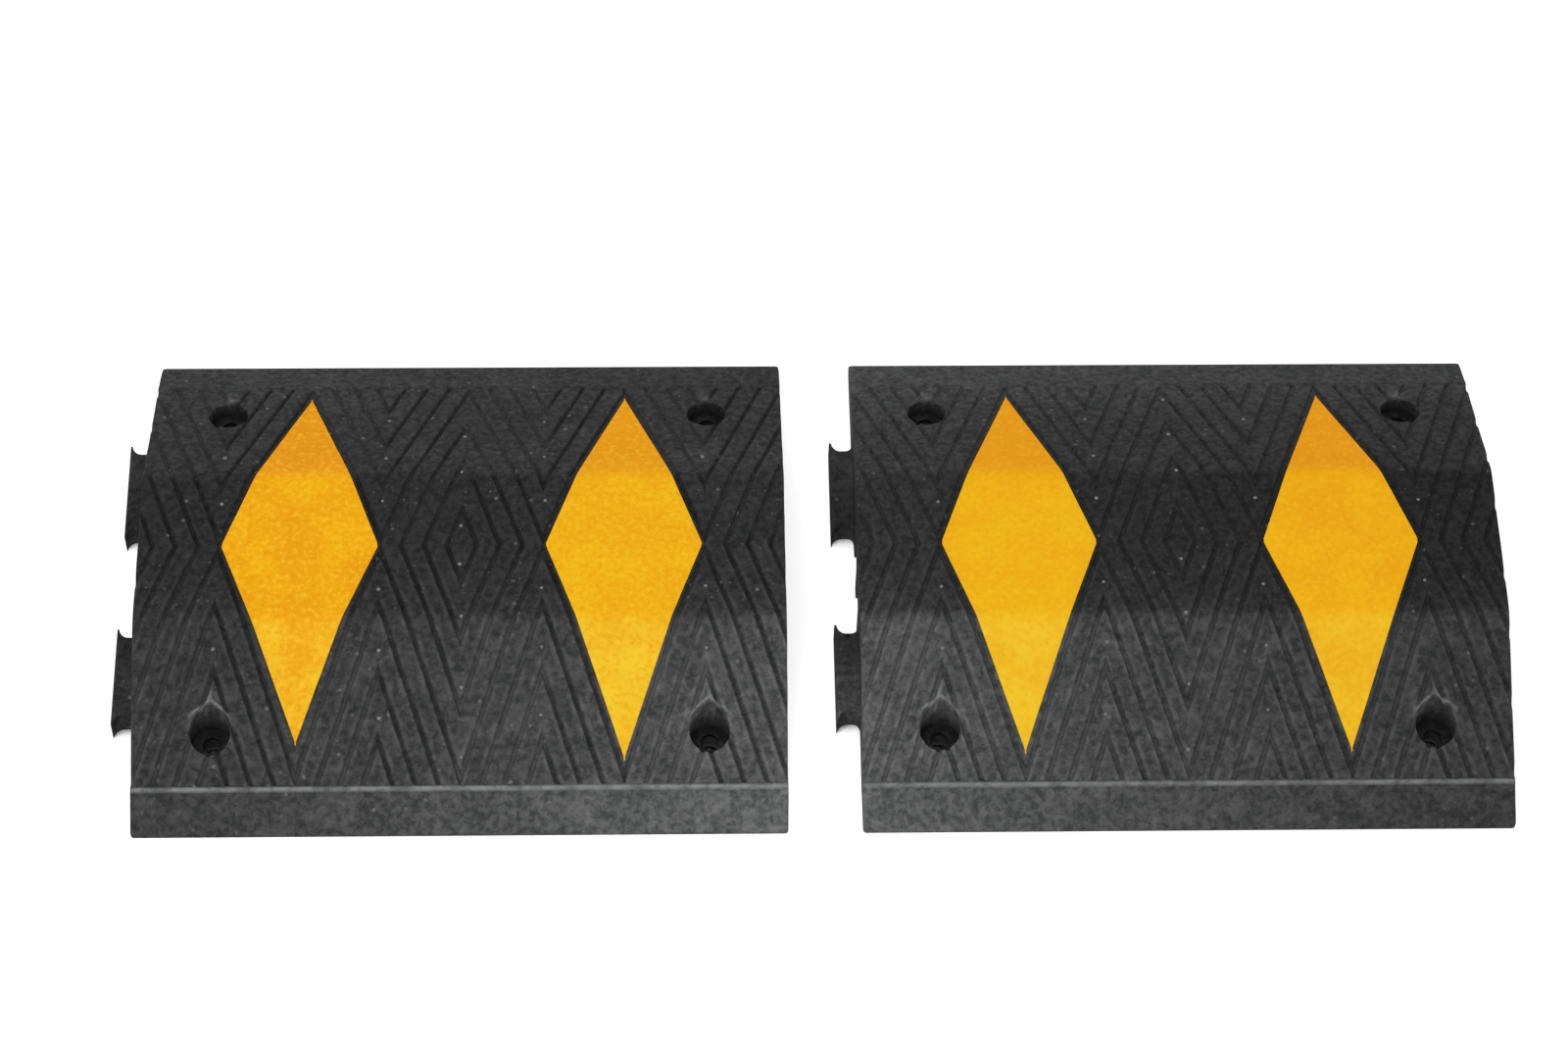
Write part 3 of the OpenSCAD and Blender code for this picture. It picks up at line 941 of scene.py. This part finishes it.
def rubber_material():
    """Moulded crumb rubber. Its painted light across the zones, painted shade and painted light in the
    grooves and seats, painted highlights (partly wear) and dust come from numbers on the mesh.
    """
    n = Surface("moulded_rubber")
    dark, pale = (0.033, 0.0342, 0.0342), (0.077, 0.0785, 0.0775)
    dust_and_lit_grey, edge_highlight, highlight_and_wear_grey = (0.15, 0.152, 0.15), (0.165, 0.167, 0.166), (0.25, 0.255, 0.253)
    shadow, deep_shadow = (0.009, 0.0093, 0.0093), (0.008, 0.0083, 0.0083)
    blotch = n.noise(190, 4, 0.65, distortion=0.3)
    colour = n.mix(n.ramp(blotch, 0.34, 0.68), dark, pale)
    smear = n.ramp(n.noise(40, 6, 0.75, distortion=0.8), 0.46, 0.7)
    dust = n.times(n.attribute("dust"), smear)
    colour = n.mix(n.times(dust, 0.75), colour, dust_and_lit_grey)
    # Painted highlight along the lands' edges, broken up by streaks
    streak = n.ramp(n.noise(85, 5, 0.7), 0.38, 0.66, 0.0, 0.75)
    colour = n.mix(n.times(n.attribute("shoulder"), streak), colour, edge_highlight)
    # Painted light on the floor of the grooves that run along the light
    colour = n.mix(n.times(n.attribute("lit_groove"), 0.3), colour, dust_and_lit_grey)
    # Painted light: the tone carries the painted light across the bump and the painted pool of light; the
    # underside keeps a plain tone
    colour = n.mix(1.0, colour, n.attribute("tone_and_painted_light"), "MULTIPLY")
    # Pale specks, small and large: (scale, full to, gone at, share of cells without one, strength)
    for scale, low, high, share, strength in ((210, 0.08, 0.3, 0.8, 0.42), (75, 0.03, 0.17, 0.58, 0.85)):
        grit = n.times(n.attribute("grit"), strength)
        colour = n.mix(n.times(n.specks(scale, low, high, share), grit), colour, dust_and_lit_grey)
    # Painted shade in the grooves
    colour = n.mix(n.times(n.attribute("groove"), 0.6), colour, shadow)
    # Painted shade in the seats and scoops
    colour = n.mix(n.times(n.attribute("seat"), 0.75), colour, deep_shadow)
    # Painted highlight, partly wear, on the front bead and the scoops' edges, and the pale spots
    broken = n.ramp(n.noise(75, 4, 0.65), 0.35, 0.62, 0.4, 1.0)
    colour = n.mix(n.times(n.attribute("highlight_and_wear"), broken), colour, highlight_and_wear_grey)
    grain = n.bump(n.noise(520, 4, 0.65), 0.0006, 0.4)
    return n.shade(Base_Color=colour, Roughness=n.ramp(blotch, 0.3, 0.7, 0.9, 0.75), Specular_IOR_Level=0.1,
                   Normal=n.bump(n.noise(130, 3, 0.5), 0.0016, 0.35, grain))


def nib_material():
    """Rubber at the tip of a vent nib, paler than the moulded skin."""
    n = Surface("nib_rubber")
    colour = n.mix(n.ramp(n.noise(900, 3, 0.6), 0.3, 0.7), (0.10, 0.102, 0.10), (0.22, 0.223, 0.22))
    return n.shade(Base_Color=colour, Roughness=0.7, Specular_IOR_Level=0.4,
                   Normal=n.bump(n.noise(1500, 3, 0.6), 0.0003, 0.4))


def film_material(name, light_pool_tint, mottle, grainy):
    """Glass-bead reflective film, a little uneven, with painted light: paler and yellower on the front
    slope, darker and more orange towards the rear.
    """
    n = Surface(name)
    front, crest, rear = (0.86, 0.525, 0.018), (0.87, 0.445, 0.006), (0.875, 0.335, 0.001)
    clouded, fleck = (0.80, 0.30, 0.002), (0.62, 0.24, 0.01)
    dark_grain, pale_grain = (0.74, 0.30, 0.002), (0.95, 0.56, 0.03)
    y = n.new("ShaderNodeSeparateXYZ", n.coords).outputs["Y"]
    # Painted light by place across the bump: the lit front slope paler and yellower, the rear slope darker
    # and more orange
    colour = n.mix(n.ramp(y, 0.055, 0.08), crest, rear)
    colour = n.mix(n.ramp(y, -0.058, -0.076), colour, front)
    # Painted pool of light: each film's tint
    colour = n.mix(1.0, colour, light_pool_tint, "MULTIPLY")
    cloud = n.noise(24, 5, 0.68, distortion=0.5)
    colour = n.mix(n.ramp(cloud, 0.36, 0.66, mottle, 0.0), colour, clouded)
    grain = n.noise(230, 3, 0.6)
    colour = n.mix(n.ramp(grain, 0.5, 0.66, 0.0, grainy), colour, dark_grain)
    colour = n.mix(n.ramp(grain, 0.34, 0.5, grainy, 0.0), colour, pale_grain)
    colour = n.mix(n.times(n.specks(150, 0.05, 0.18, 0.8), 0.45), colour, fleck)
    beads = n.bump(n.cells(1400).outputs["Distance"], 0.00008, 0.3)
    return n.shade(Base_Color=colour, Roughness=n.ramp(cloud, 0.3, 0.7, 0.6, 0.5), Specular_IOR_Level=0.06,
                   Normal=n.bump(n.noise(70, 3, 0.5), 0.0008, 0.2, beads))


def steel_material():
    """Blackened steel with a little bare metal showing through."""
    n = Surface("blackened_steel")
    patch = n.ramp(n.noise(160, 4, 0.65), 0.45, 0.7)
    colour = n.mix(patch, (0.009, 0.009, 0.0095), (0.032, 0.031, 0.03))
    return n.shade(Base_Color=colour, Metallic=0.7, Roughness=n.ramp(patch, 0, 1, 0.62, 0.42),
                   Normal=n.bump(n.noise(700, 3, 0.6), 0.0003, 0.3))


RUBBER = rubber_material()
NIB = nib_material()
STEEL = steel_material()
# Tint, a painted pool of light that is paler for the two films near the middle, then clouds and grain of
# each film
FILM = {
    ("left", 1): film_material("film_left_1", (0.99, 0.97, 0.8), 0.65, 0.5),
    ("left", 2): film_material("film_left_2", (0.99, 1.06, 1.1), 0.42, 0.42),
    ("right", 1): film_material("film_right_1", (0.98, 1.05, 1.1), 0.36, 0.24),
    ("right", 2): film_material("film_right_2", (0.985, 1.0, 0.9), 0.42, 0.26),
}


# ------------------------ building
def dress_washers(side):
    """The CAD's own washers get softened edges and their steel."""
    for number in (1, 2, 3, 4):
        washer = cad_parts[f"{side}_seat_washer_{number}"]
        bevel = washer.modifiers.new("soft_edges", "BEVEL")
        bevel.width = 0.4 * MM
        bevel.segments = 2
        bevel.limit_method = "ANGLE"
        if not washer.material_slots:
            washer.data.materials.append(STEEL)
        for slot in washer.material_slots:
            slot.material = STEEL


PLAN = top_plan(SECTIONS[0]["bolts"])
for order, section in enumerate(SECTIONS):
    body_seed = 100 * (order + 1)
    rubber_piece(section, PLAN, body_seed)
    for number in (1, 2):
        film_piece(section, number, body_seed + 10 * number, body_seed)
    nib_piece(section, body_seed + 50, body_seed)
    dress_washers(section["side"])


# ------------------------ camera, floor and light
# Fitted to the photo, in degrees, metres and millimetres of lens
CAMERA_PITCH, CAMERA_YAW, CAMERA_ROLL = 57.32, 2.86, 2.11
CAMERA_TARGET = Vector((-0.0175, 0.0689, 0))
CAMERA_DISTANCE = 3.477
CAMERA_LENS = 100.25
# Painted shade on the floor: it is black where less than one share of its near surroundings is open, as
# under a bolt hole, and white where more than another is
FLOOR_HALF, FLOOR_DROP, FLOOR_WHITE = 6.0, 0.0003, 0.7
COVER_DISTANCE, COVER_DARK, COVER_OPEN = 0.05, 0.17, 0.31
CLEAR_DISTANCE = 0.035  # shorter diffuse rays pass through it: those that leave the underside
SURROUND_LIGHT = 0.72  # the surroundings' strength as light on things; seen directly, it is 1
LAMP_PLACE = Vector((-0.8, -1.5, 3.1))
LAMP_SIZE, LAMP_POWER = 1.6, 42


def add_camera():
    """Looks down at the pair from the front, a little from the left, and rolled slightly."""
    pitch, yaw, roll = (math.radians(angle) for angle in (CAMERA_PITCH, CAMERA_YAW, CAMERA_ROLL))
    forward = Vector((math.sin(yaw) * math.cos(pitch), math.cos(yaw) * math.cos(pitch), -math.sin(pitch)))
    right = Vector((math.cos(yaw), -math.sin(yaw), 0))
    up = right.cross(forward)
    turned_right = right * math.cos(roll) + up * math.sin(roll)
    turned_up = up * math.cos(roll) - right * math.sin(roll)
    camera = new_object("camera", bpy.data.cameras.new("camera"))
    camera.data.sensor_width = 36
    camera.data.lens = CAMERA_LENS
    camera.data.clip_end = 50
    turn = Matrix((turned_right, turned_up, -forward)).transposed().to_4x4()
    camera.matrix_world = Matrix.Translation(CAMERA_TARGET - forward * CAMERA_DISTANCE) @ turn
    bpy.context.scene.camera = camera


def straight_rays(n):
    """1 for what the camera sees directly, in a mirror or through glass, and 0 for the light on things."""
    path = n.new("ShaderNodeLightPath").outputs
    seen = n.math("MAXIMUM", path["Is Camera Ray"], path["Is Glossy Ray"])
    return n.math("MAXIMUM", seen, path["Is Transmission Ray"])


def add_floor():
    """A plain white floor that keeps the object's shadow. From below it is clear, and lets light up."""
    mesh = bpy.data.meshes.new("floor")
    corners = [(-FLOOR_HALF, -FLOOR_HALF, 0), (FLOOR_HALF, -FLOOR_HALF, 0),
               (FLOOR_HALF, FLOOR_HALF, 0), (-FLOOR_HALF, FLOOR_HALF, 0)]
    mesh.from_pydata(corners, [], [(0, 1, 2, 3)])
    floor = new_object("floor", mesh)
    floor.location.z = -FLOOR_DROP
    material = bpy.data.materials.new("floor_white")
    material.use_nodes = True
    material.node_tree.nodes.clear()
    n = Nodes(material.node_tree)

    # Painted shade: the floor's colour and glow fall to black where it is closely covered
    cover = n.feed(n.new("ShaderNodeAmbientOcclusion"), Distance=COVER_DISTANCE)
    white = n.ramp(cover.outputs["AO"], COVER_DARK, COVER_OPEN, 0.0, FLOOR_WHITE)
    diffuse = n.new("ShaderNodeBsdfDiffuse", white)
    glow = n.new("ShaderNodeEmission", (1, 1, 1, 1), n.times(straight_rays(n), white))
    both = n.new("ShaderNodeAddShader", diffuse.outputs[0], glow.outputs[0])

    path = n.new("ShaderNodeLightPath").outputs
    close = n.math("LESS_THAN", path["Ray Length"], CLEAR_DISTANCE)
    from_below = n.new("ShaderNodeNewGeometry").outputs["Backfacing"]
    passing = n.math("MULTIPLY_ADD", close, path["Is Diffuse Ray"], from_below)
    clear = n.new("ShaderNodeBsdfTransparent")
    surface = n.new("ShaderNodeMixShader", passing, both.outputs[0], clear.outputs[0])
    n.new("ShaderNodeOutputMaterial", surface.outputs[0])
    mesh.materials.append(material)


def add_light():
    """Even white surroundings and one large soft lamp above the front."""
    world = bpy.data.worlds.new("studio")
    bpy.context.scene.world = world
    world.use_nodes = True
    n = Nodes(world.node_tree)
    strength = n.new("ShaderNodeMapRange", straight_rays(n), 0.0, 1.0, SURROUND_LIGHT, 1.0)
    n.feed(n.tree.nodes["Background"], Color=(1, 1, 1, 1), Strength=strength.outputs["Result"])
    lamp = new_object("key", bpy.data.lights.new("key", "AREA"))
    lamp.data.shape = "DISK"
    lamp.data.size = LAMP_SIZE
    lamp.data.energy = LAMP_POWER
    lamp.location = LAMP_PLACE
    lamp.rotation_euler = (-LAMP_PLACE).to_track_quat("-Z", "Y").to_euler()


add_camera()
add_floor()
add_light()
bpy.context.scene.view_settings.view_transform = "Standard"
